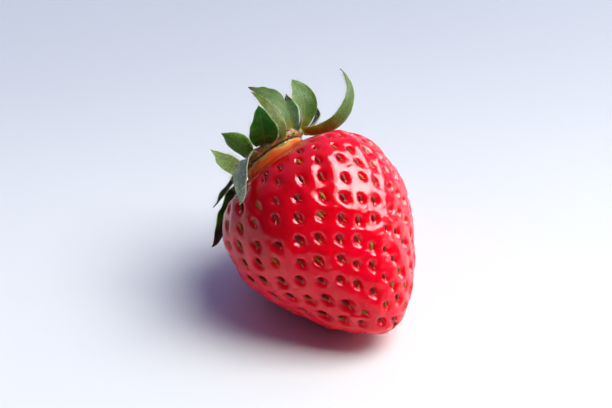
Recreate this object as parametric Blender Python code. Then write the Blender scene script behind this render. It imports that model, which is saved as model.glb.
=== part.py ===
"""A ripe strawberry that lies on a flat surface, in metres, +Z up.

The fruit is drawn in its own frame, in millimetres: the origin is the middle of the calyx's seat,
+Z runs out of the fruit towards the stem, and +X is the side that ends up facing the floor.
It is then laid down, so that its small flat resting spot is centred on the world's origin, at z = 0.
"""
import math

import bmesh
import bpy
import numpy as np
from mathutils import Matrix, Vector

MM = 0.001

# ---- the flesh -------------------------------------------------------------------------------
FRUIT_LENGTH = 37.5
# share of the length, from the calyx's seat to the tip, and the radius there
PROFILE = (
    (0.0, 5.6),
    (0.035, 6.3),
    (0.07, 8.6),
    (0.12, 13.2),
    (0.25, 16.0),
    (0.40, 16.4),
    (0.56, 14.8),
    (0.72, 11.5),
    (0.86, 7.9),
    (0.95, 4.1),
    (1.0, 0.0),
)
CORE_BOW = (1.2, -0.7)      # how far the middle of the core bows to the side, in x and y
TIP_SHIFT = (-1.8, 0.8)     # how far the tip lies off the stem's line, in x and y
BELLY_SWELL = 0.06          # extra radius on the floor side, as a share
BELLY_AT = 0.33             # where the belly is fullest, as a share of the length
BELLY_REACH = 0.20          # how far it reaches along the fruit, as a share of the length
BELLY_SPREAD = 0.35         # how far it reaches around the fruit
SHOULDER_RISE = 0.66        # how far a shoulder beside the neck stands up towards the stem
SHOULDER_AT = 0.074         # where it is highest, as a share of the length
SHOULDER_STEEPNESS = 4.4    # how quickly it falls away along the fruit
SHOULDER_HEADING = 208.0    # degrees around the fruit
SHOULDER_SPREAD = 0.20      # how far it reaches around the fruit
FLESH_RINGS = 34
FLESH_SIDES = 46

# ---- how it lies -----------------------------------------------------------------------------
STEM_RISE = 34.0            # degrees from the floor up to the stem's line
STEM_HEADING = 131.0        # degrees from +X to the stem's line, seen from above
CALYX_SEAT = (-8.7, 10.0, 24.15)    # the calyx's seat in the world

# ---- the calyx -------------------------------------------------------------------------------
GAP = 0.3                   # room between two touching pieces
DISC_RADIUS = 5.7
DISC_HEIGHT = 1.5
DISC_DOME = 0.4
DISC_SIDES = 40
STUMP_RADIUS = 0.9
STUMP_LENGTH = 2.6
STUMP_SIDES = 16
STUMP_BEVEL = 0.15

# ---- the leaves of the calyx -----------------------------------------------------------------
LEAF_THICKNESS = 0.45
LEAF_ROWS = 12
LEAF_COLUMNS = 4
LEAF_BASE_WIDTH = 0.6       # width at the base, as a share of the widest
LEAF_WIDEST_AT = 0.42       # where a leaf is widest, as a share of its length
OUTER_RING = (6.7, 0.5)     # radius and height at which the outer ring's leaves start
INNER_RING = (6.2, 1.5)     # the same for the inner ring

# Each leaf: its name, its ring, its azimuth around the stem, its rise above the seat's plane
# (at base, middle and tip), its sideways sweep and its twist (each at base and tip), the angle
# that half its cross-section curls through (towards the stem if positive), its length, its width.
# Angles are in degrees.
LEAVES = (
    ("bract_1", OUTER_RING, 31, (-15, -37, -17), (19, 20), (0, 25), 10, 14.4, 6.0),
    ("sepal_1", INNER_RING, 48, (-15, -20, -15), (-5, 0), (0, 0), 15, 8.7, 2.8),
    ("bract_2", OUTER_RING, 75, (40, 70, 80), (15, 0), (15, 0), 15, 6.7, 5.5),
    ("sepal_2", INNER_RING, 110, (60, 65, 50), (5, -5), (-10, -5), 45, 6.1, 5.1),
    ("bract_3", OUTER_RING, 120, (10, -45, -30), (0, -15), (0, -10), 30, 14.0, 4.0),
    ("sepal_3", INNER_RING, 145, (0, 28, 36), (14, 28), (-20, -18), -25, 10.0, 5.2),
    ("bract_4", OUTER_RING, 175, (30, 100, 120), (0, 5), (-5, -5), 5, 11.3, 2.0),
    ("sepal_4", INNER_RING, 199, (50, 108, 141), (11, -6), (5, -6), 0, 12.7, 4.9),
    ("sepal_5", INNER_RING, 230, (20, 65, 95), (5, -30), (5, -40), -35, 9.5, 6.1),
    ("bract_5", OUTER_RING, 244, (-46, 27, 109), (-7, -5), (0, -5), 62, 18.3, 6.2),
    ("sepal_6", INNER_RING, 266, (0, 20, 80), (5, 15), (5, 15), 5, 9.0, 3.0),
    ("sepal_7", INNER_RING, 290, (40, 55, 60), (0, -5), (5, 15), 10, 11.5, 5.2),
    ("bract_6", OUTER_RING, 303, (5, -35, -60), (0, 0), (0, 0), -15, 10.5, 4.6),
    ("sepal_8", INNER_RING, 328, (15, -5, -40), (0, 10), (0, 10), -15, 10.0, 4.4),
    ("bract_7", OUTER_RING, 357, (0, -35, -65), (0, -10), (0, -5), -10, 11.0, 4.4),
)

# ---- colours: red, green, blue, then roughness -----------------------------------------------
FLESH_COLOUR = (0.62, 0.012, 0.010, 0.25)
DISC_COLOUR = (0.16, 0.19, 0.035, 0.55)
STUMP_COLOUR = (0.24, 0.26, 0.08, 0.60)
SEPAL_COLOUR = (0.075, 0.16, 0.030, 0.50)
BRACT_COLOUR = (0.13, 0.22, 0.050, 0.55)


def smooth_through(points, shares):
    """A curve through the points that never overshoots between two of them (monotone cubic)."""
    x, y = np.array(points, float).T
    steps = np.diff(x)
    slopes = np.diff(y) / steps
    before, after = slopes[:-1], slopes[1:]
    tangents = np.concatenate(([slopes[0]], np.zeros(len(before)), [slopes[-1]]))
    rising = before * after > 0
    near = 2 * steps[1:] + steps[:-1]
    far = steps[1:] + 2 * steps[:-1]
    mean = (near + far)[rising] / ((near / np.where(rising, before, 1))[rising]
                                   + (far / np.where(rising, after, 1))[rising])
    tangents[1:-1][rising] = mean
    i = np.clip(np.searchsorted(x, shares, side="right") - 1, 0, len(steps) - 1)
    t = (shares - x[i]) / steps[i]
    return (
        y[i] * (1 + 2 * t) * (1 - t) ** 2
        + y[i + 1] * t * t * (3 - 2 * t)
        + steps[i] * tangents[i] * t * (1 - t) ** 2
        + steps[i] * tangents[i + 1] * t * t * (t - 1)
    )


def flesh_radius(shares):
    """The radius along the fruit. The squares are joined, so that the tip closes round."""
    squares = [(share, radius * radius) for share, radius in PROFILE]
    return np.sqrt(np.maximum(smooth_through(squares, shares), 0.0))


def flesh_point(share, angle):
    """A point on the skin, in the fruit's own frame."""
    along = math.exp(-(((share - BELLY_AT) / BELLY_REACH) ** 2))
    around = math.exp((math.cos(angle) - 1) / BELLY_SPREAD)
    radius = float(flesh_radius(np.array([share]))[0]) * (1 + BELLY_SWELL * along * around)
    bow = math.sin(math.pi * share)
    shoulder = (share / SHOULDER_AT * math.exp(1 - share / SHOULDER_AT)) ** SHOULDER_STEEPNESS
    facing = math.exp((math.cos(angle - math.radians(SHOULDER_HEADING)) - 1) / SHOULDER_SPREAD)
    return Vector((
        CORE_BOW[0] * bow + TIP_SHIFT[0] * share + radius * math.cos(angle),
        CORE_BOW[1] * bow + TIP_SHIFT[1] * share + radius * math.sin(angle),
        SHOULDER_RISE * shoulder * facing - FRUIT_LENGTH * share,
    ))


def lying_matrix():
    """From the fruit's own frame, in millimetres, to the world, in metres."""
    turn = Matrix.Rotation(math.radians(STEM_HEADING), 4, "Z")
    tilt = Matrix.Rotation(math.radians(90.0 - STEM_RISE), 4, "Y")
    return Matrix.Scale(MM, 4) @ Matrix.Translation(CALYX_SEAT) @ turn @ tilt


def material(name, colour):
    made = bpy.data.materials.new(name)
    made.use_nodes = True
    shader = made.node_tree.nodes["Principled BSDF"]
    shader.inputs["Base Color"].default_value = (*colour[:3], 1.0)
    shader.inputs["Roughness"].default_value = colour[3]
    shader.inputs["Metallic"].default_value = 0.0
    return made


def place(name, shape, skin):
    """Turns a bmesh in the fruit's own frame into a named object that lies in the world."""
    bmesh.ops.transform(shape, matrix=lying_matrix(), verts=shape.verts)
    mesh = bpy.data.meshes.new(name)
    shape.to_mesh(mesh)
    shape.free()
    mesh.shade_smooth()
    mesh.materials.append(skin)
    piece = bpy.data.objects.new(name, mesh)
    bpy.context.scene.collection.objects.link(piece)
    return piece


def loft(rings, close_start, close_end):
    """Joins rings of points into one skin. A ring of one point is a tip."""
    shape = bmesh.new()
    loops = [[shape.verts.new(point) for point in ring] for ring in rings]
    for lower, upper in zip(loops, loops[1:]):
        sides = max(len(lower), len(upper))
        for i in range(sides):
            j = (i + 1) % sides
            corners = [lower[i % len(lower)], lower[j % len(lower)],
                       upper[j % len(upper)], upper[i % len(upper)]]
            shape.faces.new(list(dict.fromkeys(corners)))
    if close_start:
        shape.faces.new(loops[0])
    if close_end:
        shape.faces.new(loops[-1])
    bmesh.ops.recalc_face_normals(shape, faces=shape.faces)
    return shape


def circle(radius, height, sides):
    """A ring of points around the stem's line."""
    return [
        Vector((radius * math.cos(2 * math.pi * i / sides), radius * math.sin(2 * math.pi * i / sides), height))
        for i in range(sides)
    ]


def flatten_below_floor(piece):
    """Cuts the lowest sliver off a lying piece at z = 0, which leaves its flat resting spot."""
    shape = bmesh.new()
    shape.from_mesh(piece.data)
    everything = shape.verts[:] + shape.edges[:] + shape.faces[:]
    bmesh.ops.bisect_plane(shape, geom=everything, plane_co=(0, 0, 0), plane_no=(0, 0, -1), clear_outer=True)
    rim = [edge for edge in shape.edges if edge.is_boundary]
    bmesh.ops.contextual_create(shape, geom=rim)
    bmesh.ops.recalc_face_normals(shape, faces=shape.faces)
    shape.to_mesh(piece.data)
    shape.free()


def make_flesh():
    """The fleshy receptacle: one solid from the neck under the calyx to the tip."""
    rings = []
    for i in range(FLESH_RINGS):
        share = 0.5 - 0.5 * math.cos(math.pi * i / FLESH_RINGS)
        rings.append([flesh_point(share, 2 * math.pi * j / FLESH_SIDES) for j in range(FLESH_SIDES)])
    rings.append([flesh_point(1.0, 0.0)])
    flesh = place("flesh", loft(rings, close_start=True, close_end=False), material("flesh", FLESH_COLOUR))
    flatten_below_floor(flesh)


def make_disc():
    """The green disc that joins the leaves to the flesh, domed on the stem's side."""
    edge = DISC_HEIGHT / 3
    low = GAP
    rings = [
        circle(DISC_RADIUS - edge, low, DISC_SIDES),
        circle(DISC_RADIUS, low + edge, DISC_SIDES),
        circle(DISC_RADIUS, low + 2 * edge, DISC_SIDES),
        circle(DISC_RADIUS - edge, low + DISC_HEIGHT, DISC_SIDES),
        circle(DISC_RADIUS / 2, low + DISC_HEIGHT + DISC_DOME * 0.75, DISC_SIDES),
        [Vector((0, 0, low + DISC_HEIGHT + DISC_DOME))],
    ]
    place("calyx_disc", loft(rings, close_start=True, close_end=False), material("calyx_disc", DISC_COLOUR))


def make_stump():
    """The short stump that is left of the stem."""
    low = 2 * GAP + DISC_HEIGHT + DISC_DOME
    shape = bmesh.new()
    middle = Matrix.Translation((0, 0, low + STUMP_LENGTH / 2))
    bmesh.ops.create_cone(shape, cap_ends=True, segments=STUMP_SIDES, radius1=STUMP_RADIUS * 1.15,
                          radius2=STUMP_RADIUS, depth=STUMP_LENGTH, matrix=middle)
    top = [edge for edge in shape.edges if min(vert.co.z for vert in edge.verts) > low + STUMP_LENGTH / 2]
    bmesh.ops.bevel(shape, geom=top, offset=STUMP_BEVEL, segments=2, affect="EDGES")
    place("stem_stump", shape, material("stem_stump", STUMP_COLOUR))


def blend(start, middle, end, share):
    """The parabola through three values, at 0, one half and 1."""
    return (
        start * (2 * share * share - 3 * share + 1)
        + middle * (4 * share - 4 * share * share)
        + end * (2 * share * share - share)
    )


def leaf_half_width(share, width):
    """Half a leaf's width: it swells from the base, then runs to a pointed tip."""
    swell = math.sin(math.pi / 2 * min(share / LEAF_WIDEST_AT, 1))
    taper = math.cos(math.pi / 2 * max((share - LEAF_WIDEST_AT) / (1 - LEAF_WIDEST_AT), 0))
    return width / 2 * (LEAF_BASE_WIDTH + (1 - LEAF_BASE_WIDTH) * swell) * taper


def leaf_rows(ring, azimuth, rise, sweep, twist, curl, length, width):
    """Rows of points across a leaf, from base to tip. The last row is the tip alone."""
    outward = Vector((math.cos(math.radians(azimuth)), math.sin(math.radians(azimuth)), 0))
    around = Vector((-outward.y, outward.x, 0))
    up = Vector((0, 0, 1))
    middle = ring[0] * outward + ring[1] * up
    curl = math.radians(curl) or 1e-4
    rows = []
    fine = 4
    for step in range(LEAF_ROWS * fine + 1):
        share = step / (LEAF_ROWS * fine)
        rising = math.radians(blend(*rise, share))
        sweeping = math.radians(sweep[0] + (sweep[1] - sweep[0]) * share)
        twisting = math.radians(twist[0] + (twist[1] - twist[0]) * share)
        flat = math.cos(sweeping) * outward + math.sin(sweeping) * around
        forward = math.cos(rising) * flat + math.sin(rising) * up
        level = -math.sin(sweeping) * outward + math.cos(sweeping) * around
        stemward = forward.cross(level)
        across = math.cos(twisting) * level + math.sin(twisting) * stemward
        normal = math.cos(twisting) * stemward - math.sin(twisting) * level
        if step:
            middle = middle + (forward + last_forward) * (length / (2 * LEAF_ROWS * fine))
        last_forward = forward
        if step % fine == 0:
            half = leaf_half_width(share, width)
            row = []
            for column in range(LEAF_COLUMNS + 1):
                side = curl * (2 * column / LEAF_COLUMNS - 1)
                row.append(middle + half * (math.sin(side) * across + (1 - math.cos(side)) * normal) / curl)
            rows.append(row)
    rows[-1] = [middle]
    return rows


def make_leaf(name, *form):
    """One leaf of the calyx: a curved sheet with an even thickness."""
    rows = leaf_rows(*form)
    sheet = bmesh.new()
    points = [[sheet.verts.new(point) for point in row] for row in rows]
    for lower, upper in zip(points, points[1:]):
        for i in range(LEAF_COLUMNS):
            corners = [lower[i], lower[i + 1], upper[min(i + 1, len(upper) - 1)], upper[min(i, len(upper) - 1)]]
            sheet.faces.new(list(dict.fromkeys(corners)))
    colour = SEPAL_COLOUR if name.startswith("sepal") else BRACT_COLOUR
    leaf = place(name, sheet, material(name, colour))
    solid = leaf.modifiers.new("thickness", "SOLIDIFY")
    solid.thickness = LEAF_THICKNESS * MM
    solid.offset = 0.0


def main():
    for thing in list(bpy.data.objects):
        bpy.data.objects.remove(thing)
    make_flesh()
    make_disc()
    make_stump()
    for leaf in LEAVES:
        make_leaf(*leaf)


main()
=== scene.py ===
"""The looks of a ripe strawberry that lies on a pale surface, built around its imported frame.

As in the part's source, the fruit is drawn in its own frame, in millimetres: the origin is the
middle of the calyx's seat, +Z runs out of the fruit towards the stem, and +X is the side that
ends up facing the floor. Every piece is then laid down in the world, in metres.
"""
import math

import bpy
import numpy as np
from mathutils import Matrix, Quaternion, Vector

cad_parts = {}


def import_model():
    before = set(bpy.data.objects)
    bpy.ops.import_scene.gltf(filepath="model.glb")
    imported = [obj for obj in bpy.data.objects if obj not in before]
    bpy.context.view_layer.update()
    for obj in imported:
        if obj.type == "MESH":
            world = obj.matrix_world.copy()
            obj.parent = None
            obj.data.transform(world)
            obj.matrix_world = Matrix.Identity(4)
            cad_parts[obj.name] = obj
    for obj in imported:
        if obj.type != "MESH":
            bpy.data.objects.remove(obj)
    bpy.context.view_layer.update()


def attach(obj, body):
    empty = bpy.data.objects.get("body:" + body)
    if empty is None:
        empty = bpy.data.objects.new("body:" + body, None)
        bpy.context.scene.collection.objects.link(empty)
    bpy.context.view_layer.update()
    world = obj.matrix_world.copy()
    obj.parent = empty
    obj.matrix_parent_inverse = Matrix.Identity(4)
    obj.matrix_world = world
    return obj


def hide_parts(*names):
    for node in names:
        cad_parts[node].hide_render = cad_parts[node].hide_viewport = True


MM = 0.001
TURN = 2 * math.pi
BODY = "root"

# ---- the flesh, as in the part's source ------------------------------------------------------
FRUIT_LENGTH = 37.5
PROFILE = (
    (0.0, 5.6),
    (0.035, 6.3),
    (0.07, 8.6),
    (0.12, 13.2),
    (0.25, 16.0),
    (0.40, 16.4),
    (0.56, 14.8),
    (0.72, 11.5),
    (0.86, 7.9),
    (0.95, 4.1),
    (1.0, 0.0),
)
CORE_BOW = (1.2, -0.7)
TIP_SHIFT = (-1.8, 0.8)
BELLY_SWELL = 0.06
BELLY_AT = 0.33
BELLY_REACH = 0.20
BELLY_SPREAD = 0.35
SHOULDER_RISE = 0.66
SHOULDER_AT = 0.074
SHOULDER_STEEPNESS = 4.4
SHOULDER_HEADING = 208.0
SHOULDER_SPREAD = 0.20
STEM_RISE = 34.0
STEM_HEADING = 131.0
CALYX_SEAT = (-8.7, 10.0, 24.15)
FLESH_RINGS = 240
FLESH_SIDES = 400
AT_ONCE = 4000              # points of the skin that are worked out together, to save memory

# ---- the achenes and their pits --------------------------------------------------------------
SEED_COUNT = 298.35
SPIRAL_FROM = 0.075         # share of the length at which their spiral starts
SEEDS_FROM = 0.098          # share of the length at which the first achene is left
SEED_CROWDING = (-0.318, 0.701)  # how their density changes along the fruit
SEED_STEP = 96.681          # degrees around the fruit from one achene to the next
SEED_START = 180.91
SEED_LEAN = (-0.2533, -0.6936)   # radians that their spirals lean
SEED_PUSH = (-0.3014, 0.0972)    # how far they are pushed around the fruit
SEED_SLOPE = (-0.0383, 0.0112)   # how far their rows slope along the fruit
SEED_STRAY = 0.28           # millimetres that an achene strays from its place
SEED_SIZE = (0.80, 1.60, 0.60)      # width, length and height
SEED_SUNK = 0.66            # how deep an achene's middle lies under the smooth skin
PIT_SIZE = (1.16, 1.58)     # half width and half length
LOW_PIT_SIZE = 1.22         # how much larger the pits are low down, and between which heights
LOW_PITS = (11.0, 23.0)
SHALLOW_SHARE = 0.42        # how much shallower they are high up on the left, and from where
SHALLOW_PITS = (20.0, 46.0)
LEFTWARD = 1.6              # how much a step to the left counts against a step up, for the painted shade on the upper left and for the shallow pits
PIT_DEPTH = 0.66
PIT_FORWARD = 0.46          # how far the pit runs on past the achene's middle, towards the tip
PILLOW_DEPTH = 0.46         # how far the skin sags between the pillows
SAG_FORWARD = 0.32          # how much further towards the tip it sags
PILLOW_REACH = 1.30
PILLOW_LIFT = 0.22          # how far the pillows stand out of the smooth skin
SKIN_RIPPLES = ((0.11, 4.8, 3), (0.04, 1.9, 4))     # each one's height, length and random seed
SEED_SPACING = 3.6          # the distance between achenes at which they are full size
LAST_SHARE = 0.992          # no achene sits nearer to the tip than this share of the length

# ---- the calyx, as in the part's source ------------------------------------------------------
GAP = 0.3
DISC_RADIUS = 5.7
DISC_HEIGHT = 1.5
DISC_DOME = 0.4
DISC_SKIRT = 0.55            # how far the looks run on past the disc, under the leaves
DISC_LOBES = 0.42            # how high the feet of the leaves stand out of it
STUMP_RADIUS = 0.9
STUMP_LENGTH = 2.6
LEAF_BASE_WIDTH = 0.6
LEAF_WIDEST_AT = 0.42
OUTER_RING = (6.7, 0.5)
INNER_RING = (6.2, 1.5)
LEAF_ROWS = 56
LEAF_COLUMNS = 22
MIDRIB_THICKNESS = 0.40
MARGIN_THICKNESS = 0.10
MARGIN_FLUTTER = 0.30       # how far the leaves' margins wave out of their sheets
BLADE_QUILTING = 0.05       # how far the rest of the blade does
RIB_RISE = 0.10             # how far the midrib stands out, and its width as a share of the leaf's
RIB_WIDTH = 0.10
HAIRS_PER_MM = 10
HAIR_ROWS = 60              # the grid on a leaf that its hairs stand on
HAIR_COLUMNS = 21

# name, ring, azimuth, rise, sweep, twist, curl, length and width
LEAVES = (
    ("bract_1", OUTER_RING, 31, (-15, -37, -17), (19, 20), (0, 25), 10, 14.4, 6.0),
    ("sepal_1", INNER_RING, 48, (-15, -20, -15), (-5, 0), (0, 0), 15, 8.7, 2.8),
    ("bract_2", OUTER_RING, 75, (40, 70, 80), (15, 0), (15, 0), 15, 6.7, 5.5),
    ("sepal_2", INNER_RING, 110, (60, 65, 50), (5, -5), (-10, -5), 45, 6.1, 5.1),
    ("bract_3", OUTER_RING, 120, (10, -45, -30), (0, -15), (0, -10), 30, 14.0, 4.0),
    ("sepal_3", INNER_RING, 145, (0, 28, 36), (14, 28), (-20, -18), -25, 10.0, 5.2),
    ("bract_4", OUTER_RING, 175, (30, 100, 120), (0, 5), (-5, -5), 5, 11.3, 2.0),
    ("sepal_4", INNER_RING, 199, (50, 108, 141), (11, -6), (5, -6), 0, 12.7, 4.9),
    ("sepal_5", INNER_RING, 230, (20, 65, 95), (5, -30), (5, -40), -35, 9.5, 6.1),
    ("bract_5", OUTER_RING, 244, (-46, 27, 109), (-7, -5), (0, -5), 62, 18.3, 6.2),
    ("sepal_6", INNER_RING, 266, (0, 20, 80), (5, 15), (5, 15), 5, 9.0, 3.0),
    ("sepal_7", INNER_RING, 290, (40, 55, 60), (0, -5), (5, 15), 10, 11.5, 5.2),
    ("bract_6", OUTER_RING, 303, (5, -35, -60), (0, 0), (0, 0), -15, 10.5, 4.6),
    ("sepal_8", INNER_RING, 328, (15, -5, -40), (0, 10), (0, 10), -15, 10.0, 4.4),
    ("bract_7", OUTER_RING, 357, (0, -35, -65), (0, -10), (0, -5), -10, 11.0, 4.4),
)

# Each leaf's colours (red, green and blue out of 255): the face towards the stem, the face
# towards the fruit, the base and the tip, then the shares of the length where the base's colour
# ends and the tip's starts.
LEAF_LOOKS = {
    "bract_1": ((50, 82, 40), (26, 70, 18), (60, 72, 34), (36, 26, 20), 0.15, 0.70),
    "sepal_1": ((84, 104, 74), (56, 88, 34), (80, 84, 40), (84, 84, 76), 0.15, 0.75),
    # bract_2's colours are painted much paler than the leaf is, as painted light, because it lies in the
    # fruit's shadow.
    "bract_2": ((222, 240, 160), (200, 228, 124), (140, 146, 76), (130, 130, 84), 0.25, 0.9),
    "sepal_2": ((100, 138, 12), (84, 126, 8), (74, 90, 32), (104, 116, 64), 0.15, 0.93),
    "bract_3": ((138, 148, 128), (84, 102, 60), (96, 100, 48), (84, 84, 62), 0.15, 0.86),
    "sepal_3": ((48, 104, 26), (16, 104, 6), (60, 44, 22), (50, 84, 24), 0.08, 0.95),
    "bract_4": ((104, 118, 8), (98, 114, 4), (116, 124, 24), (104, 60, 16), 0.15, 0.88),
    "sepal_4": ((92, 158, 106), (78, 108, 32), (124, 112, 30), (118, 60, 40), 0.20, 0.86),
    "sepal_5": ((110, 156, 104), (84, 118, 40), (150, 132, 14), (88, 122, 40), 0.34, 0.78),
    "bract_5": ((92, 124, 52), (88, 120, 34), (134, 110, 20), (96, 84, 60), 0.55, 0.93),
    "sepal_6": ((54, 62, 40), (44, 58, 20), (68, 76, 24), (50, 50, 36), 0.15, 0.8),
    "sepal_7": ((112, 150, 84), (78, 100, 40), (110, 106, 26), (92, 58, 42), 0.25, 0.80),
}
PLAIN_LOOKS = ((78, 104, 60), (52, 78, 26), (94, 98, 36), (92, 68, 44), 0.15, 0.88)

# ---- the picture -----------------------------------------------------------------------------
CAMERA_ELEVATION = 36.0
CAMERA_DISTANCE = 294.5
CAMERA_LENS = 100.0
LOOK_AT = (-3.04, 0.0, 20.85)
FLOOR_HALF = 1.5            # metres
BACKDROP = (1.45, 0.6)      # its radius and height, in metres
FRUIT_MIDDLE = (0, 0, 0.016)        # in metres: what the lights face


# ---- shapes ----------------------------------------------------------------------------------
def smooth_through(points, shares):
    """A curve through the points that never overshoots between two of them (monotone cubic)."""
    x, y = np.array(points, float).T
    steps = np.diff(x)
    slopes = np.diff(y) / steps
    before, after = slopes[:-1], slopes[1:]
    tangents = np.concatenate(([slopes[0]], np.zeros(len(before)), [slopes[-1]]))
    rising = before * after > 0
    near = 2 * steps[1:] + steps[:-1]
    far = steps[1:] + 2 * steps[:-1]
    mean = (near + far)[rising] / ((near / np.where(rising, before, 1))[rising]
                                   + (far / np.where(rising, after, 1))[rising])
    tangents[1:-1][rising] = mean
    i = np.clip(np.searchsorted(x, shares, side="right") - 1, 0, len(steps) - 1)
    t = (shares - x[i]) / steps[i]
    return (
        y[i] * (1 + 2 * t) * (1 - t) ** 2
        + y[i + 1] * t * t * (3 - 2 * t)
        + steps[i] * tangents[i] * t * (1 - t) ** 2
        + steps[i] * tangents[i + 1] * t * t * (t - 1)
    )


def smooth_step(low, high, value):
    """0 below low, 1 above high, and a smooth rise between."""
    t = np.clip((value - low) / (high - low), 0, 1)
    return t * t * (3 - 2 * t)


def unit(vectors):
    return vectors / np.maximum(np.linalg.norm(vectors, axis=-1, keepdims=True), 1e-12)


def flesh_radius(shares):
    squares = [(share, radius * radius) for share, radius in PROFILE]
    return np.sqrt(np.maximum(smooth_through(squares, shares), 0.0))


def smooth_skin(share, angle):
    """Points on the fruit's smooth skin, before its pits."""
    along = np.exp(-(((share - BELLY_AT) / BELLY_REACH) ** 2))
    around = np.exp((np.cos(angle) - 1) / BELLY_SPREAD)
    radius = flesh_radius(share) * (1 + BELLY_SWELL * along * around)
    bow = np.sin(np.pi * share)
    shoulder = (share / SHOULDER_AT * np.exp(1 - share / SHOULDER_AT)) ** SHOULDER_STEEPNESS
    facing = np.exp((np.cos(angle - math.radians(SHOULDER_HEADING)) - 1) / SHOULDER_SPREAD)
    return np.stack((
        CORE_BOW[0] * bow + TIP_SHIFT[0] * share + radius * np.cos(angle),
        CORE_BOW[1] * bow + TIP_SHIFT[1] * share + radius * np.sin(angle),
        SHOULDER_RISE * shoulder * facing - FRUIT_LENGTH * share,
    ), -1)


def skin_frame(share, angle):
    """Points on the smooth skin, with the directions to the tip, around and out of the fruit."""
    step = 1e-4
    lower = np.clip(share - step, 0, 1 - 2 * step)
    point = smooth_skin(share, angle)
    to_tip = unit(smooth_skin(lower + 2 * step, angle) - smooth_skin(lower, angle))
    around = unit(np.stack((-np.sin(angle), np.cos(angle), 0 * angle), -1))
    outward = unit(np.cross(to_tip, around))
    return point, to_tip, np.cross(outward, to_tip), outward


def arc_lengths(samples=2000):
    """Evenly spaced shares of the length, the radius at each, and the length of skin up to it."""
    shares = np.linspace(0, 1, samples + 1)
    radii = flesh_radius(shares)
    steps = np.hypot(FRUIT_LENGTH / samples, np.diff(radii))
    return shares, radii, np.concatenate(([0], np.cumsum(steps)))


def seed_places():
    """The share and angle of every achene. They follow one spiral, closer where they crowd."""
    shares, radii, arcs = arc_lengths()
    middle = shares - 0.5
    crowding = SEED_CROWDING[0] * middle + SEED_CROWDING[1] * middle ** 2
    density = np.exp(crowding) * (shares > SPIRAL_FROM)
    filled = np.cumsum(TURN * radii * np.gradient(arcs) * density)
    number = np.arange(math.ceil(SEED_COUNT))
    share = np.interp(number + 0.5, filled / filled[-1] * SEED_COUNT, shares)
    lean = SEED_LEAN[0] * (share - 0.5) + SEED_LEAN[1] * (share - 0.5) ** 2
    angle = math.radians(SEED_START) + number * math.radians(SEED_STEP) + lean
    pushed = angle + SEED_PUSH[0] * np.cos(angle) + SEED_PUSH[1] * np.sin(angle)
    slope = SEED_SLOPE[0] * np.cos(angle) + SEED_SLOPE[1] * np.sin(angle)
    share = np.clip(share + 4 * share * (1 - share) * slope, 0.03, LAST_SHARE)
    kept = share > SEEDS_FROM
    return share[kept], pushed[kept]


def spacing(points):
    """Each point's distance to its nearest neighbour."""
    apart = np.linalg.norm(points[:, None] - points[None], axis=-1)
    np.fill_diagonal(apart, np.inf)
    return apart.min(1)


class Seeds:
    """Where the achenes sit, and how large and deep each one's pit is."""

    def __init__(self):
        chance = np.random.default_rng(11)
        share, angle = seed_places()
        stray = chance.normal(0, SEED_STRAY, (2, len(share)))
        self.share = np.clip(share + stray[0] / FRUIT_LENGTH, 0, LAST_SHARE)
        self.angle = angle + stray[1] / np.maximum(flesh_radius(share), 2.0)
        self.point, self.to_tip, self.around, self.outward = skin_frame(self.share, self.angle)
        self.count = len(self.share)
        crowd = np.clip(spacing(self.point) / SEED_SPACING, 0.62, 1.08)
        self.size = crowd * chance.uniform(0.93, 1.07, self.count)
        side, _, height = laid_down(self.point).T / MM
        wide = LOW_PIT_SIZE + (1 - LOW_PIT_SIZE) * smooth_step(*LOW_PITS, height)
        shallow = 1 - SHALLOW_SHARE * smooth_step(*SHALLOW_PITS, height - LEFTWARD * side)
        self.pit = crowd * wide * chance.uniform(0.86, 1.12, self.count)
        young = 0.55 + 0.45 * smooth_step(0.05, 0.16, self.share)
        self.depth = chance.uniform(0.80, 1.15, self.count) * crowd * shallow * young
        self.tone = chance.uniform(0, 1, self.count)
        self.turned = np.radians(chance.normal(0, 9, self.count))


def pit_depths(points, seeds, nearest=3):
    """How deep the skin lies under the smooth skin at each point, and how far inside a pit it is."""
    depth = np.zeros(len(points))
    inside = np.zeros(len(points))
    uneven = 1 + 0.10 * waves(points, 2.2, 8)
    for start in range(0, len(points), AT_ONCE):
        part = slice(start, start + AT_ONCE)
        some = points[part]
        apart = ((some[:, None] - seeds.point[None]) ** 2).sum(-1)
        close = np.argpartition(apart, nearest, axis=1)[:, :nearest]
        sag = np.zeros(len(some))
        pit = np.zeros(len(some))
        for column in range(nearest):
            k = close[:, column]
            offset = some - seeds.point[k]
            ahead = (offset * seeds.to_tip[k]).sum(-1) / seeds.pit[k] - PIT_FORWARD
            aside = (offset * seeds.around[k]).sum(-1) / seeds.pit[k]
            narrow = 1 + 0.16 * np.clip(ahead / PIT_SIZE[1], -1, 1)
            reach = np.hypot(aside / PIT_SIZE[0] * narrow, ahead / PIT_SIZE[1]) * uneven[part]
            beyond = np.hypot(aside / PIT_SIZE[0], (ahead - SAG_FORWARD) / PIT_SIZE[1])
            wall = 1 - smooth_step(0.36, 1.02, reach)
            pit = np.maximum(pit, wall)
            between = np.exp(-(beyond / PILLOW_REACH) ** 2)
            sag += seeds.depth[k] * (PIT_DEPTH * wall + PILLOW_DEPTH * between)
        depth[part] = sag
        inside[part] = pit
    return depth, inside


def waves(points, length, seed):
    """A smooth wandering value, about -1 to 1, whose bumps are about that far apart."""
    chance = np.random.default_rng(seed)
    total = np.zeros(points.shape[:-1])
    for _ in range(7):
        direction = unit(chance.normal(size=3)) * TURN / (length * chance.uniform(0.75, 1.5))
        total += np.sin(points @ direction + chance.uniform(0, TURN))
    return total / 4


def lying_matrix():
    """From the fruit's own frame, in millimetres, to the world, in metres."""
    turn = Matrix.Rotation(math.radians(STEM_HEADING), 4, "Z")
    tilt = Matrix.Rotation(math.radians(90.0 - STEM_RISE), 4, "Y")
    return Matrix.Scale(MM, 4) @ Matrix.Translation(CALYX_SEAT) @ turn @ tilt


def laid_down(points):
    matrix = np.array(lying_matrix())
    return points @ matrix[:3, :3].T + matrix[:3, 3]


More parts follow.
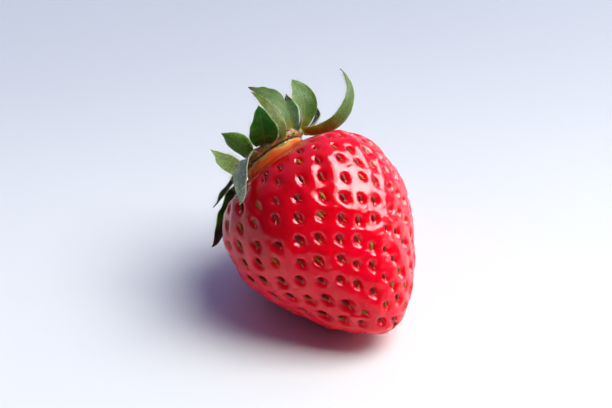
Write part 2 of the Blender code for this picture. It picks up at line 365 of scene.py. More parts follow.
def make_piece(name, points, face_groups, skin, replaces=(), values=None):
    """One piece that rides on the fruit's body. Points are in the fruit's own frame.

    What lies below the floor is lifted up to it, which leaves the fruit's flat resting spot.
    """
    mesh = bpy.data.meshes.new(name)
    faces = [face for group in face_groups for face in group.tolist()]
    mesh.from_pydata(np.maximum(laid_down(points), (-1, -1, 0)).tolist(), [], faces)
    for label, numbers in (values or {}).items():
        stored = mesh.attributes.new(label, "FLOAT", "POINT")
        stored.data.foreach_set("value", numbers.astype(np.float32))
    mesh.shade_smooth()
    mesh.materials.append(skin)
    piece = bpy.data.objects.new(name, mesh)
    bpy.context.scene.collection.objects.link(piece)
    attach(piece, BODY)
    if replaces:
        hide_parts(*replaces)


def loop_faces(rows, sides):
    """Quads between neighbouring loops of the same number of points."""
    i, j = np.meshgrid(np.arange(rows - 1), np.arange(sides), indexing="ij")
    here = i * sides + j
    beside = i * sides + (j + 1) % sides
    return np.stack((here, here + sides, beside + sides, beside), -1).reshape(-1, 4)


def fan_faces(loop, centre, turned=False):
    """Triangles from a loop of points to one point."""
    after = np.roll(loop, -1)
    middle = np.full(len(loop), centre)
    return np.stack((loop, after, middle) if turned else (after, loop, middle), -1)


def closed_faces(rows, sides):
    """Quads between loops, and triangles that close both ends around the last two points."""
    caps = np.concatenate((
        fan_faces(np.arange(sides), rows * sides),
        fan_faces(np.arange(sides) + (rows - 1) * sides, rows * sides + 1, turned=True),
    ))
    return loop_faces(rows, sides), caps


def turned_out(points, quads, caps):
    """The faces of a closed shape, all flipped if they face inwards."""
    volume = 0
    for faces in (quads[:, :3], quads[:, (0, 2, 3)], caps):
        a, b, c = (points[faces[:, corner]] for corner in range(3))
        volume += (a * np.cross(b, c)).sum()
    return (quads, caps) if volume > 0 else (quads[:, ::-1], caps[:, ::-1])


def repeated(faces, count, step):
    """The same faces on many shapes, whose first points are that many points apart."""
    starts = np.arange(count)[:, None, None] * step
    return (faces[None] + starts).reshape(-1, faces.shape[1])


def make_tubes(name, paths, radii, sides, skin):
    """Thin tubes along many paths of the same number of points, closed at both ends."""
    count, steps = paths.shape[:2]
    ahead = unit(np.gradient(paths, axis=1))
    aside = unit(np.cross(ahead, np.broadcast_to((0.31, 0.67, 0.42), ahead.shape)))
    over = np.cross(ahead, aside)
    turn = np.arange(sides) * TURN / sides
    ring = np.cos(turn)[:, None] * aside[:, :, None] + np.sin(turn)[:, None] * over[:, :, None]
    points = paths[:, :, None] + radii[:, :, None, None] * ring
    past_end = radii[:, [0, -1], None] * np.array((-0.5, 0.5))[:, None]
    ends = paths[:, [0, -1]] + ahead[:, [0, -1]] * past_end
    per_tube = steps * sides + 2
    flat = np.concatenate((points.reshape(count, -1, 3), ends), 1).reshape(-1, 3)
    quads, caps = (repeated(faces, count, per_tube) for faces in closed_faces(steps, sides))
    along = np.append(np.repeat(np.linspace(0, 1, steps), sides), (0, 1))
    values = {"along": np.tile(along, count)}
    make_piece(name, flat, turned_out(flat, quads, caps), skin, values=values)


# ---- materials -------------------------------------------------------------------------------
def colour(red, green, blue):
    """A screen colour out of 255 as the light it stands for."""
    def light(value):
        value /= 255
        return value / 12.92 if value <= 0.04045 else ((value + 0.055) / 1.055) ** 2.4
    return (light(red), light(green), light(blue), 1.0)


class Paint:
    """Builds one material's nodes. An input takes a number, a colour or another node's output."""

    def __init__(self, name):
        self.material = bpy.data.materials.new(name)
        self.material.use_nodes = True
        self.tree = self.material.node_tree
        self.shader = self.tree.nodes["Principled BSDF"]
        self.place = self.node("ShaderNodeTexCoord").outputs["Object"]
        scaled = self.node("ShaderNodeVectorMath", operation="SCALE")
        self.give(scaled.inputs[0], self.place)
        scaled.inputs["Scale"].default_value = 1 / MM
        self.place = scaled.outputs[0]

    def node(self, kind, **settings):
        made = self.tree.nodes.new(kind)
        for label, value in settings.items():
            setattr(made, label, value)
        return made

    def give(self, socket, value):
        if isinstance(value, bpy.types.NodeSocket):
            self.tree.links.new(value, socket)
        else:
            socket.default_value = value

    def set(self, **inputs):
        """Sets the shader's inputs, named with underscores for spaces."""
        for label, value in inputs.items():
            self.give(self.shader.inputs[label.replace("_", " ")], value)

    def sum(self, operation, first, second=0.0, clamp=False):
        made = self.node("ShaderNodeMath", operation=operation, use_clamp=clamp)
        self.give(made.inputs[0], first)
        self.give(made.inputs[1], second)
        return made.outputs[0]

    def mix(self, share, first, second, blend="MIX"):
        made = self.node("ShaderNodeMix", data_type="RGBA", blend_type=blend)
        self.give(made.inputs[0], share)
        self.give(made.inputs[6], first)
        self.give(made.inputs[7], second)
        return made.outputs[2]

    def range(self, value, low, high, new_low=0.0, new_high=1.0):
        made = self.node("ShaderNodeMapRange", interpolation_type="SMOOTHSTEP")
        for socket, number in zip(made.inputs, (value, low, high, new_low, new_high)):
            self.give(socket, number)
        return made.outputs[0]

    def attribute(self, label):
        return self.node("ShaderNodeAttribute", attribute_name=label).outputs["Fac"]

    def noise(self, per_mm, detail=2.0, rough=0.5, place=None):
        made = self.node("ShaderNodeTexNoise")
        self.give(made.inputs["Vector"], place or self.place)
        made.inputs["Scale"].default_value = per_mm
        made.inputs["Detail"].default_value = detail
        made.inputs["Roughness"].default_value = rough
        return made.outputs["Fac"]

    def bump(self, height, depth_mm, normal=None):
        made = self.node("ShaderNodeBump")
        made.inputs["Distance"].default_value = depth_mm * MM
        self.give(made.inputs["Height"], height)
        if normal:
            self.give(made.inputs["Normal"], normal)
        return made.outputs[0]


def flesh_skin():
    """Ripe red skin with a pale orange neck, wet-looking and finely wrinkled; brighter low down as
    painted light, with painted shade on the upper left and in the pits.
    """
    paint = Paint("flesh")
    share = paint.attribute("share")
    pit = paint.attribute("pit")
    broad = paint.noise(0.16, 3.0)
    fine = paint.noise(0.9, 3.0, 0.6)
    split = paint.node("ShaderNodeSeparateXYZ")
    paint.give(split.inputs[0], paint.place)
    # Painted light: the red is brightest low down, as if lit from the floor, and dimmer higher up.
    height = paint.sum("ADD", split.outputs[2], paint.range(broad, 0.3, 0.7, -3.0, 3.0))
    # Painted shade: the red darkens towards the upper left, away from the lamps.
    shade_reach = paint.sum("SUBTRACT", height, paint.sum("MULTIPLY", split.outputs[0], LEFTWARD))
    red = paint.mix(paint.range(height, 14.0, 30.0), colour(255, 0, 38), colour(236, 0, 26))
    red = paint.mix(paint.range(shade_reach, 26.0, 50.0), red, colour(176, 0, 14))
    dark = paint.mix(0.5, red, colour(150, 0, 10))
    red = paint.mix(paint.range(fine, 0.4, 0.7, 0.0, 0.4), red, dark)
    # Painted shade: the red darkens inside the pits.
    red = paint.mix(paint.range(pit, 0.2, 1.0, 0.0, 0.45), red, colour(206, 4, 12))
    ragged = paint.sum("ADD", share, paint.range(paint.noise(0.5, 3.0), 0.2, 0.8, -0.014, 0.014))
    orange = paint.mix(paint.range(ragged, 0.0, 0.035), colour(250, 164, 90), colour(244, 84, 26))
    orange = paint.mix(paint.range(ragged, -0.004, 0.012), colour(140, 124, 50), orange)
    red = paint.mix(paint.range(ragged, 0.038, 0.062), orange, red)
    paint.set(Base_Color=red)
    paint.set(Subsurface_Weight=0.90, Subsurface_Scale=4.5 * MM, Subsurface_Radius=(1.0, 0.04, 0.04))
    paint.set(Roughness=paint.range(fine, 0.3, 0.8, 0.22, 0.38), IOR=1.45)
    paint.set(Coat_Weight=1.0, Coat_Roughness=0.025, Coat_IOR=1.42, Specular_IOR_Level=0.0)
    wrinkles = paint.bump(paint.noise(1.1, 2.0, 0.5), 0.036)
    crinkles = paint.bump(paint.noise(3.2, 3.0, 0.6), 0.022, wrinkles)
    paint.set(Normal=crinkles, Coat_Normal=crinkles)
    return paint.material


def seed_skin():
    """Hard achenes, from dark red-brown to olive, with fine speckles."""
    paint = Paint("achene")
    tone = paint.attribute("tone")
    speckle = paint.noise(2.5, 3.0)
    brown = paint.mix(paint.range(speckle, 0.3, 0.7), colour(84, 12, 10), colour(140, 34, 24))
    olive = paint.mix(paint.range(speckle, 0.3, 0.7), colour(122, 66, 14), colour(168, 122, 40))
    base = paint.mix(paint.range(tone, 0.62, 0.82), brown, olive)
    paint.set(Base_Color=base, Roughness=paint.range(speckle, 0.2, 0.8, 0.34, 0.50))
    paint.set(Specular_IOR_Level=0.12)
    paint.set(Normal=paint.bump(paint.noise(4.0, 2.0), 0.02))
    return paint.material


def style_skin():
    """Dried styles, yellow-orange at the foot and browner at the tip."""
    paint = Paint("style")
    along = paint.attribute("along")
    base = paint.mix(along, colour(214, 100, 24), colour(190, 106, 32))
    base = paint.mix(paint.range(paint.noise(3.0), 0.3, 0.7, 0.0, 0.5), base, colour(236, 176, 70))
    paint.set(Base_Color=base, Roughness=0.4, Coat_Weight=0.3)
    paint.set(Subsurface_Weight=0.2, Subsurface_Scale=0.3 * MM)
    paint.set(Normal=paint.bump(paint.noise(6.0), 0.01))
    return paint.material


def leaf_skin(name, looks):
    """A leaf: two unlike faces, veins that run along it, pale margins and a dry tip."""
    stem_face, fruit_face, foot, tip, foot_to, tip_from = looks
    paint = Paint(name)
    share = paint.attribute("share")
    side = paint.attribute("side")
    face = paint.attribute("face")
    broad = paint.noise(0.55, 3.0)
    fine = paint.noise(2.6, 4.0, 0.65)
    base = paint.mix(face, colour(*fruit_face), colour(*stem_face))
    light = paint.mix(0.35, base, colour(160, 178, 92))
    base = paint.mix(paint.range(broad, 0.45, 0.75, 0.0, 0.6), base, light)
    dark = paint.mix(0.5, base, colour(20, 34, 10))
    base = paint.mix(paint.range(fine, 0.42, 0.58, 0.0, 0.75), base, dark)
    edge = paint.sum("ABSOLUTE", side)
    lines = paint.sum("SINE", paint.sum("MULTIPLY", side, 22.0))
    veins = paint.range(lines, 0.55, 1.0)
    rib = paint.range(edge, 0.0, 0.10, 1.0, 0.0)
    ridges = paint.sum("MAXIMUM", paint.sum("MULTIPLY", veins, 0.16), rib)
    base = paint.mix(paint.sum("MULTIPLY", ridges, 0.4), base, light)
    wander = paint.range(broad, 0.3, 0.7, -0.05, 0.05)
    near_foot = paint.range(paint.sum("ADD", share, wander), 0.0, foot_to, 1.0, 0.0)
    base = paint.mix(paint.sum("MULTIPLY", near_foot, 0.85), base, colour(*foot))
    near_tip = paint.range(paint.sum("ADD", share, wander), tip_from, tip_from + 0.10)
    base = paint.mix(near_tip, base, colour(*tip))
    margin = paint.range(edge, 0.965, 0.995, 0.0, 0.5)
    base = paint.mix(margin, base, colour(196, 194, 146))
    paint.set(Base_Color=base)
    paint.set(Roughness=paint.range(face, 0.0, 1.0, 0.50, 0.62), Specular_IOR_Level=0.22)
    paint.set(Subsurface_Weight=0.45, Subsurface_Scale=0.9 * MM, Subsurface_Radius=(0.6, 1.0, 0.3))
    raised = paint.bump(ridges, 0.06)
    paint.set(Normal=paint.bump(fine, 0.09, raised))
    return paint.material


def disc_skin():
    """The calyx's base: green and brown, with red spots."""
    paint = Paint("calyx_disc")
    broad = paint.noise(0.8, 3.0)
    between = paint.mix(paint.range(broad, 0.4, 0.6), colour(176, 138, 72), colour(158, 96, 48))
    base = paint.mix(paint.range(paint.attribute("lobe"), 0.1, 0.7), between, colour(134, 136, 58))
    spots = paint.range(paint.noise(1.1, 1.0), 0.60, 0.68, 0.0, 0.8)
    base = paint.mix(spots, base, colour(226, 56, 50))
    paint.set(Base_Color=base, Roughness=paint.range(broad, 0.2, 0.8, 0.4, 0.7))
    paint.set(Subsurface_Weight=0.15, Subsurface_Scale=0.5 * MM)
    paint.set(Normal=paint.bump(paint.noise(2.2, 3.0), 0.15))
    return paint.material


def stump_skin():
    """The cut stem: pale green with long fibres, drier at the end."""
    paint = Paint("stem_stump")
    share = paint.attribute("share")
    fibres = paint.noise(2.0, 2.0)
    base = paint.mix(paint.range(fibres, 0.3, 0.7), colour(120, 132, 62), colour(160, 164, 92))
    base = paint.mix(paint.range(share, 0.7, 1.0), base, colour(126, 98, 60))
    paint.set(Base_Color=base, Roughness=paint.range(fibres, 0.2, 0.8, 0.5, 0.75))
    paint.set(Normal=paint.bump(fibres, 0.08))
    return paint.material


def hair_skin():
    """Fine pale hairs that let some light through."""
    paint = Paint("leaf_hair")
    along = paint.attribute("along")
    base = paint.mix(along, colour(190, 196, 150), colour(236, 234, 214))
    paint.set(Base_Color=base, Roughness=paint.range(paint.noise(1.0), 0.0, 1.0, 0.4, 0.6))
    paint.set(Subsurface_Weight=0.4, Subsurface_Scale=0.1 * MM)
    return paint.material


def stamen_skin():
    """Dried stamens: tan threads with nearly black ends."""
    paint = Paint("stamen")
    along = paint.attribute("along")
    base = paint.mix(paint.range(along, 0.6, 0.85), colour(168, 116, 62), colour(66, 34, 22))
    base = paint.mix(paint.range(paint.noise(2.5), 0.3, 0.7, 0.0, 0.5), base, colour(120, 70, 40))
    paint.set(Base_Color=base, Roughness=0.6)
    paint.set(Normal=paint.bump(paint.noise(5.0), 0.03))
    return paint.material


# ---- pieces ----------------------------------------------------------------------------------
def make_flesh(seeds):
    """The flesh, with a pit for every achene and soft pillows between them."""
    shares, _, arcs = arc_lengths()
    ring_share = np.interp(np.arange(FLESH_RINGS) / FLESH_RINGS * arcs[-1], arcs, shares)
    share, angle = np.meshgrid(ring_share, np.arange(FLESH_SIDES) * TURN / FLESH_SIDES, indexing="ij")
    share, angle = share.ravel(), angle.ravel()
    point, _, _, outward = skin_frame(share, angle)
    depth, pit = pit_depths(point, seeds)
    ripple = sum(high * waves(point, long, seed) for high, long, seed in SKIN_RIPPLES)
    calm = smooth_step(0.02, 0.10, share)
    point = point - outward * ((depth - ripple - PILLOW_LIFT) * calm)[:, None]
    tip = smooth_skin(np.array([1.0]), np.array([0.0])) + (0, 0, 0.25)
    points = np.concatenate((point, ((0.0, 0.0, 0.0),), tip))
    faces = turned_out(points, *closed_faces(FLESH_RINGS, FLESH_SIDES))
    values = {"share": np.append(share, (0.0, 1.0)), "pit": np.append(pit, (0.0, 0.0))}
    make_piece("flesh_skin", points, faces, flesh_skin(), ("flesh",), values)


def seed_axes(seeds):
    """Directions along, across and out of every achene, after its own small turn."""
    cos, sin = np.cos(seeds.turned)[:, None], np.sin(seeds.turned)[:, None]
    along = cos * seeds.to_tip + sin * seeds.around
    across = cos * seeds.around - sin * seeds.to_tip
    return along, across, seeds.outward


def make_achenes(seeds, rings=9, sides=12):
    """Every achene: an egg shape with its narrow end towards the tip."""
    along, across, outward = seed_axes(seeds)
    latitude = np.linspace(0, np.pi, rings + 2)[1:-1]
    turn = np.arange(sides) * TURN / sides
    girth = np.sin(latitude) ** 0.85 * (1 + 0.22 * np.cos(latitude)) / 2
    egg = np.stack((
        girth[:, None] * np.cos(turn) * SEED_SIZE[0],
        np.repeat(-np.cos(latitude)[:, None] / 2, sides, 1) * SEED_SIZE[1],
        girth[:, None] * np.sin(turn) * SEED_SIZE[2],
    ), -1).reshape(-1, 3)
    ends = np.array(((0, -SEED_SIZE[1] / 2, 0), (0, SEED_SIZE[1] / 2 + 0.08, 0)))
    egg = np.concatenate((egg, ends))
    middle = seeds.point - outward * (SEED_SUNK * seeds.depth)[:, None]
    scale = (0.35 + 0.65 * seeds.size)[:, None, None]
    eggs = (
        egg[None, :, :1] * across[:, None]
        + egg[None, :, 1:2] * along[:, None]
        + egg[None, :, 2:] * outward[:, None]
    )
    flat = (middle[:, None] + scale * eggs).reshape(-1, 3)
    quads, caps = (repeated(faces, seeds.count, len(egg)) for faces in closed_faces(rings, sides))
    values = {"tone": np.repeat(seeds.tone, len(egg))}
    make_piece("achenes", flat, turned_out(flat, quads, caps), seed_skin(), values=values)


def make_styles(seeds, steps=8):
    """A dried style at the narrow end of every achene: it rises from the pit and bends over."""
    chance = np.random.default_rng(5)
    along, across, outward = seed_axes(seeds)
    t = np.linspace(0, 1, steps)[None, :, None]
    length = chance.uniform(0.45, 1.0, seeds.count)[:, None, None]
    lift = chance.uniform(0.35, 1.0, seeds.count)[:, None, None]
    sideways = chance.normal(0, 0.30, seeds.count)[:, None, None]
    size = seeds.size[:, None, None]
    foot = seeds.point - outward * (SEED_SUNK * seeds.depth - 0.02)[:, None]
    foot = foot + along * (SEED_SIZE[1] * 0.42 * (0.35 + 0.65 * seeds.size))[:, None]
    paths = (
        foot[:, None]
        + along[:, None] * length * size * (0.35 * t + 0.40 * t * t)
        + outward[:, None] * length * size * lift * (1.15 * t - 0.35 * t * t)
        + across[:, None] * length * size * sideways * t * t
    )
    thick = np.array((0.100, 0.090, 0.080, 0.072, 0.066, 0.062, 0.075, 0.080))
    radii = np.repeat(thick[None], seeds.count, 0) * (0.5 + 0.5 * seeds.size[:, None])
    make_tubes("styles", paths, radii, 6, style_skin())


def blend(start, middle, end, share):
    """The parabola through three values, at 0, one half and 1."""
    return (
        start * (2 * share * share - 3 * share + 1)
        + middle * (4 * share - 4 * share * share)
        + end * (2 * share * share - share)
    )


def leaf_half_width(share, width):
    """Half a leaf's width: it swells from the base, then runs to a pointed tip."""
    swell = np.sin(np.pi / 2 * np.minimum(share / LEAF_WIDEST_AT, 1))
    taper = np.cos(np.pi / 2 * np.maximum((share - LEAF_WIDEST_AT) / (1 - LEAF_WIDEST_AT), 0))
    return width / 2 * (LEAF_BASE_WIDTH + (1 - LEAF_BASE_WIDTH) * swell) * taper


def leaf_spine(ring, azimuth, rise, sweep, twist, length, rows):
    """Points down the middle of a leaf, with the directions across it and out of its stem face."""
    outward = np.array((math.cos(math.radians(azimuth)), math.sin(math.radians(azimuth)), 0))
    around = np.array((-outward[1], outward[0], 0))
    up = np.array((0, 0, 1.0))
    share = np.linspace(0, 1, rows)
    rising = np.radians(blend(*rise, share))[:, None]
    sweeping = np.radians(sweep[0] + (sweep[1] - sweep[0]) * share)[:, None]
    twisting = np.radians(twist[0] + (twist[1] - twist[0]) * share)[:, None]
    flat = np.cos(sweeping) * outward + np.sin(sweeping) * around
    forward = np.cos(rising) * flat + np.sin(rising) * up
    level = -np.sin(sweeping) * outward + np.cos(sweeping) * around
    stemward = np.cross(forward, level)
    across = np.cos(twisting) * level + np.sin(twisting) * stemward
    normal = np.cos(twisting) * stemward - np.sin(twisting) * level
    steps = (forward[1:] + forward[:-1]) * length / (2 * (rows - 1))
    start = ring[0] * outward + ring[1] * up
    middle = start + np.concatenate((np.zeros((1, 3)), np.cumsum(steps, 0)))
    return share, middle, across, normal


def leaf_sheet(form, side, rows):
    """Points on a leaf's middle sheet, for sides from -1 to 1, and the directions out of it."""
    ring, azimuth, rise, sweep, twist, curl, length, width = form
    share, middle, across, normal = leaf_spine(ring, azimuth, rise, sweep, twist, length, rows)
    curl = math.radians(curl) or 1e-4
    half = leaf_half_width(share, width)[:, None, None]
    bend = (curl * side)[None, :, None]
    across, normal = across[:, None], normal[:, None]
    point = middle[:, None] + half * (np.sin(bend) * across + (1 - np.cos(bend)) * normal) / curl
    out = np.cos(bend) * normal - np.sin(bend) * across
    return share, point, out


def make_leaf(number, name, *form):
    """One leaf of the calyx: a thin sheet, thickest along its midrib, with wavy margins."""
    side = np.sin(np.linspace(-1, 1, LEAF_COLUMNS + 1) * np.pi / 2 * 0.94)
    side = side / side[-1]
    share, point, out = leaf_sheet(form, side, LEAF_ROWS)
    edge = np.abs(side)[None, :, None]
    flutter = waves(point, 3.4, 40 + number)[..., None] * edge ** 3 * MARGIN_FLUTTER
    quilted = waves(point, 1.7, 80 + number)[..., None] * BLADE_QUILTING
    fade = smooth_step(0.0, 0.15, share)[:, None, None]
    point = point + out * (flutter + quilted) * fade
    thin = MARGIN_THICKNESS + (MIDRIB_THICKNESS - MARGIN_THICKNESS) * np.sqrt(1 - 0.98 * edge ** 2)
    rib = RIB_RISE * np.exp(-(edge / RIB_WIDTH) ** 2)
    narrow = 0.35 + 0.65 * np.cos(np.pi / 2 * share)[:, None, None]
    upper = point + out * (thin / 2 + rib) * narrow
    lower = point - out * (thin / 2 - rib * 0.4) * narrow
    loops = np.concatenate((upper, lower[:, ::-1]), 1)
    sides = loops.shape[1]
    ends = np.stack((loops[0].mean(0), loops[-1].mean(0)))
    points = np.concatenate((loops.reshape(-1, 3), ends))
    faces = turned_out(points, *closed_faces(LEAF_ROWS, sides))
    both_sides = np.concatenate((side, side[::-1]))
    face = np.concatenate((np.ones(len(side)), np.zeros(len(side))))
    values = {
        "share": np.append(np.repeat(share, sides), (0.0, 1.0)),
        "side": np.append(np.tile(both_sides, LEAF_ROWS), (0.0, 0.0)),
        "face": np.append(np.tile(face, LEAF_ROWS), (0.5, 0.5)),
    }
    skin = leaf_skin("leaf_" + name, LEAF_LOOKS.get(name, PLAIN_LOOKS))
    make_piece("leaf_" + name, points, faces, skin, (name,), values)


def leaf_hairs(form, number):
    """Paths of the fine hairs along a leaf's margins and on its stem face."""
    chance = np.random.default_rng(200 + number)
    _, point, out = leaf_sheet(form, np.linspace(-1, 1, HAIR_COLUMNS), HAIR_ROWS)
    length, _ = form[-2:]
    count = int(length * HAIRS_PER_MM)
    row = chance.integers(3, HAIR_ROWS - 3, count)
    on_margin = chance.uniform(size=count) < 0.6
    margin = chance.choice((0, HAIR_COLUMNS - 1), count)
    column = np.where(on_margin, margin, chance.integers(1, HAIR_COLUMNS - 1, count))
    foot = point[row, column]
    inner = point[row, np.clip(column, 1, HAIR_COLUMNS - 2)]
    away = np.where(on_margin[:, None], unit(foot - inner + 1e-9), 0)
    ahead = unit(point[np.minimum(row + 2, HAIR_ROWS - 1), column] - foot)
    lean = chance.uniform(0.3, 0.9, count)[:, None]
    stand = chance.uniform(0.2, 0.9, count)[:, None]
    rise = unit(away * 1.2 + ahead * lean + out[row, column] * stand)
    reach = chance.uniform(0.35, 0.8, count)[:, None, None]
    t = np.linspace(0, 1, 4)[None, :, None]
    droop = ahead[:, None] * t * t * 0.35
    return foot[:, None] + reach * (rise[:, None] * t + droop)


def make_hairs(kind):
    """All the hairs on one kind of leaf."""
    groups = [leaf_hairs(leaf[1:], i) for i, leaf in enumerate(LEAVES) if leaf[0].startswith(kind)]
    paths = np.concatenate(groups)
    radii = np.repeat(np.array((0.020, 0.016, 0.011, 0.005))[None], len(paths), 0)
    make_tubes(kind + "_hairs", paths, radii, 3, hair_skin())


def leaf_lobes(turn):
    """1 in the direction of every leaf's foot, and 0 between the feet."""
    apart = turn[:, None] - np.radians([leaf[2] for leaf in LEAVES])[None]
    return np.exp((np.cos(apart) - 1) / 0.010).max(1)


def make_disc(sides=240):
    """The disc that joins the leaves to the flesh: their feet run on over it as low ribs."""
    edge = DISC_HEIGHT / 3
    low = GAP
    reach = DISC_RADIUS + DISC_SKIRT
    profile = [
        (reach - 2.5 * edge, low),
        (reach - edge, low),
        (reach - edge * 0.3, low + edge * 0.3),
        (reach, low + edge),
        (reach, low + 1.6 * edge),
        (reach - edge * 0.4, low + 2.3 * edge),
        (reach - edge, low + 2.7 * edge),
    ]
    for share in (0.88, 0.76, 0.64, 0.52, 0.40, 0.28, 0.16):
        profile.append((DISC_RADIUS * share, low + DISC_HEIGHT + DISC_DOME * (1 - share ** 2)))
    radius, height = np.array(profile).T
    turn = np.arange(sides) * TURN / sides
    lobes = leaf_lobes(turn)[None] * (radius[:, None] / reach) ** 2
    rim = radius[:, None] * (1 + 0.06 * lobes + 0.012 * np.cos(34 * turn + 1.0))
    top = height[:, None] > low + 1.5 * edge
    rise = height[:, None] + DISC_LOBES * np.where(top, lobes - 0.35, 0.0) * (radius[:, None] / reach)
    points = np.stack((rim * np.cos(turn), rim * np.sin(turn), rise), -1)
    ends = np.array(((0, 0, low), (0, 0, low + DISC_HEIGHT + DISC_DOME)))
    points = np.concatenate((points.reshape(-1, 3), ends))
    faces = turned_out(points, *closed_faces(len(profile), sides))
    values = {"lobe": np.append(lobes.ravel(), (0.0, 0.0))}
    make_piece("calyx_base", points, faces, disc_skin(), ("calyx_disc",), values)


def make_stump(sides=32):
    """The short stump of the stem, ribbed along its length, with a dished cut end."""
    low = 2 * GAP + DISC_HEIGHT + DISC_DOME
    top = low + STUMP_LENGTH
    profile = (
        (STUMP_RADIUS * 1.05, low),
        (STUMP_RADIUS * 1.15, low + 0.15),
        (STUMP_RADIUS * 1.06, low + STUMP_LENGTH * 0.3),
        (STUMP_RADIUS, low + STUMP_LENGTH * 0.7),
        (STUMP_RADIUS * 1.02, top - 0.2),
        (STUMP_RADIUS * 0.96, top),
        (STUMP_RADIUS * 0.6, top - 0.12),
    )
    radius, height = np.array(profile).T
    turn = np.arange(sides) * TURN / sides
    rim = radius[:, None] * (1 + 0.03 * np.cos(8 * turn))[None]
    points = np.stack((rim * np.cos(turn), rim * np.sin(turn), np.repeat(height[:, None], sides, 1)), -1)
    ends = np.array(((0, 0, low), (0, 0, top - 0.18)))
    points = np.concatenate((points.reshape(-1, 3), ends))
    faces = turned_out(points, *closed_faces(len(profile), sides))
    share = np.append(np.repeat((height - low) / STUMP_LENGTH, sides), (0.0, 1.0))
    make_piece("stem_end", points, faces, stump_skin(), ("stem_stump",), {"share": share})


def make_stamens(count=26, steps=7):
    """Dried stamens that stick out around the neck, just under the leaves."""
    chance = np.random.default_rng(17)
    turn = (np.arange(count) + chance.uniform(-0.35, 0.35, count)) * TURN / count
    outward = np.stack((np.cos(turn), np.sin(turn), 0 * turn), -1)
    around = np.stack((-np.sin(turn), np.cos(turn), 0 * turn), -1)
    up = np.array((0, 0, 1.0))
    t = np.linspace(0, 1, steps)[None, :, None]
    length = chance.uniform(1.0, 2.3, count)[:, None, None]
    sideways = chance.normal(0, 0.45, count)[:, None, None]
    drop = chance.uniform(-0.55, 0.25, count)[:, None, None]
    foot = outward * (DISC_RADIUS - 0.15) + up * chance.uniform(0.35, 0.9, count)[:, None]
    paths = (
        foot[:, None]
        + outward[:, None] * length * (0.75 * t - 0.15 * t * t)
        + around[:, None] * length * sideways * t * t
        + up * length * drop * t * t
    )
    thick = np.array((0.10, 0.08, 0.07, 0.065, 0.07, 0.17, 0.12))
    radii = np.repeat(thick[None], count, 0)
    make_tubes("stamens", paths, radii, 7, stamen_skin())


# ---- floor, lights and camera ----------------------------------------------------------------
def make_floor():
    """A plain pale floor with painted light falloff: darker and cooler towards the back and the left."""
    mesh = bpy.data.meshes.new("floor")
    corners = [(-1, -1), (1, -1), (1, 1), (-1, 1)]
    mesh.from_pydata([(x * FLOOR_HALF, y * FLOOR_HALF, 0) for x, y in corners], [], [(0, 1, 2, 3)])
    paint = Paint("floor")
    split = paint.node("ShaderNodeSeparateXYZ")
    paint.give(split.inputs[0], paint.place)
    tilt = paint.sum("ADD", split.outputs[1], paint.sum("MULTIPLY", split.outputs[0], -0.15))
    # Painted light falloff: the colour dims from a lit near colour to a darker, cooler one towards the
    # back and the left, away from the lamps.
    base = paint.mix(paint.range(tilt, -25, 130), colour(230, 234, 228), colour(186, 192, 196))
    grain = paint.noise(0.02, 2.0)
    paint.set(Base_Color=base, Roughness=paint.range(grain, 0.0, 1.0, 0.5, 0.6))
    mesh.materials.append(paint.material)
    floor = bpy.data.objects.new("floor", mesh)
    bpy.context.scene.collection.objects.link(floor)


def make_backdrop(sides=96):
    """A wall around the floor's edge that glows with painted light instead of being lit, as dim as the
    floor at its foot and paler above.

    Only the camera sees it, so it mirrors in nothing.
    """
    turn = np.arange(sides) * TURN / sides
    ring = np.stack((np.cos(turn), np.sin(turn)), -1) * BACKDROP[0]
    levels = [np.column_stack((ring, np.full(sides, z))) for z in (0.0, BACKDROP[1])]
    mesh = bpy.data.meshes.new("backdrop")
    mesh.from_pydata(np.concatenate(levels).tolist(), [], loop_faces(2, sides).tolist())
    mesh.shade_smooth()
    paint = Paint("backdrop")
    split = paint.node("ShaderNodeSeparateXYZ")
    paint.give(split.inputs[0], paint.place)
    rise = paint.range(split.outputs[2], -10.0, 140.0)
    # Painted light: the wall glows, dim at its foot like the floor's far edge and paler above.
    pale = paint.mix(rise, colour(166, 173, 193), colour(213, 217, 225))
    paint.set(Base_Color=(0.0, 0.0, 0.0, 1.0), Specular_IOR_Level=0.0)
    paint.set(Emission_Color=pale, Emission_Strength=1.0)
    mesh.materials.append(paint.material)
    wall = bpy.data.objects.new("backdrop", mesh)
    wall.visible_diffuse = False
    wall.visible_glossy = False
    wall.visible_transmission = False
    wall.visible_shadow = False
    bpy.context.scene.collection.objects.link(wall)


def make_light(name, direction, distance, size, power, roll=0.0):
    """A soft rectangular light that faces the fruit's middle, turned about its own line by roll."""
    light = bpy.data.lights.new(name, "AREA")
    light.shape = "RECTANGLE"
    light.size, light.size_y = size
    light.energy = power
    lamp = bpy.data.objects.new(name, light)
    toward = Vector(direction).normalized()
    lamp.location = Vector(FRUIT_MIDDLE) + toward * distance
    lamp.rotation_mode = "QUATERNION"
    spin = Quaternion((0, 0, 1), math.radians(roll))
    lamp.rotation_quaternion = toward.to_track_quat("Z", "Y") @ spin
    bpy.context.scene.collection.objects.link(lamp)
    return lamp


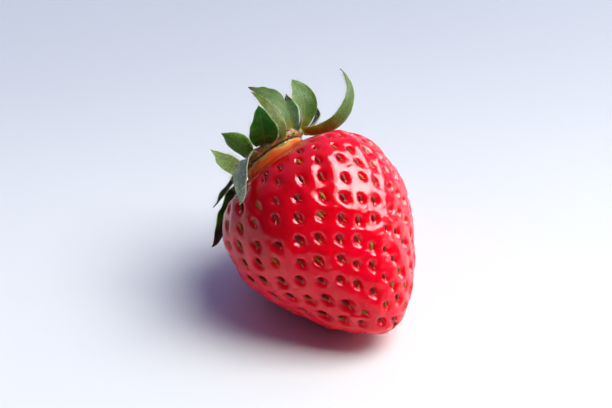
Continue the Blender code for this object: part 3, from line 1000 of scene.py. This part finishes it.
def make_lights():
    """A soft window high on the right, and a weak fill from the same side.

    The glint is the window's mirror image in the wet skin, which the window alone leaves too dim.
    """
    make_light("window", (0.500, -0.010, 0.866), 2.6, (1.55, 1.90), 82.0)
    glint = make_light("window_glint", (0.714, 0.205, 0.669), 2.4, (2.3, 2.3), 190.0, 25.0)
    glint.visible_diffuse = False
    make_light("room", (0.847, 0.180, 0.500), 2.6, (2.6, 1.9), 16.0)


def make_world():
    """A dim bluish room, brightest at the back and above, and darkest behind the camera."""
    world = bpy.data.worlds.new("room")
    world.use_nodes = True
    bpy.context.scene.world = world
    tree = world.node_tree
    place = tree.nodes.new("ShaderNodeTexCoord")
    toward = tree.nodes.new("ShaderNodeVectorMath")
    toward.operation = "DOT_PRODUCT"
    toward.inputs[1].default_value = Vector((0.10, 0.85, 0.50)).normalized()
    tree.links.new(place.outputs["Generated"], toward.inputs[0])
    ramp = tree.nodes.new("ShaderNodeMapRange")
    ramp.interpolation_type = "SMOOTHSTEP"
    ramp.inputs["From Min"].default_value = -0.10
    ramp.inputs["From Max"].default_value = 1.0
    ramp.inputs["To Min"].default_value = 0.10
    ramp.inputs["To Max"].default_value = 0.60
    tree.links.new(toward.outputs["Value"], ramp.inputs["Value"])
    background = tree.nodes["Background"]
    background.inputs["Color"].default_value = (0.42, 0.46, 1.0, 1)
    tree.links.new(ramp.outputs[0], background.inputs["Strength"])


def make_camera():
    """Looks down on the fruit from the front."""
    rise = math.radians(CAMERA_ELEVATION)
    back = Vector((0, -math.cos(rise), math.sin(rise)))
    camera = bpy.data.objects.new("camera", bpy.data.cameras.new("camera"))
    camera.data.lens = CAMERA_LENS
    camera.data.sensor_width = 36.0
    camera.data.clip_start = 0.01
    camera.location = (Vector(LOOK_AT) + back * CAMERA_DISTANCE) * MM
    camera.rotation_mode = "QUATERNION"
    camera.rotation_quaternion = (-back).to_track_quat("-Z", "Y")
    bpy.context.scene.collection.objects.link(camera)
    bpy.context.scene.camera = camera


def main():
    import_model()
    seeds = Seeds()
    make_flesh(seeds)
    make_achenes(seeds)
    make_styles(seeds)
    make_disc()
    make_stump()
    make_stamens()
    for number, leaf in enumerate(LEAVES):
        make_leaf(number, *leaf)
    make_hairs("sepal")
    make_hairs("bract")
    make_floor()
    make_backdrop()
    make_world()
    make_lights()
    bpy.context.scene.view_settings.view_transform = "Standard"
    make_camera()


main()
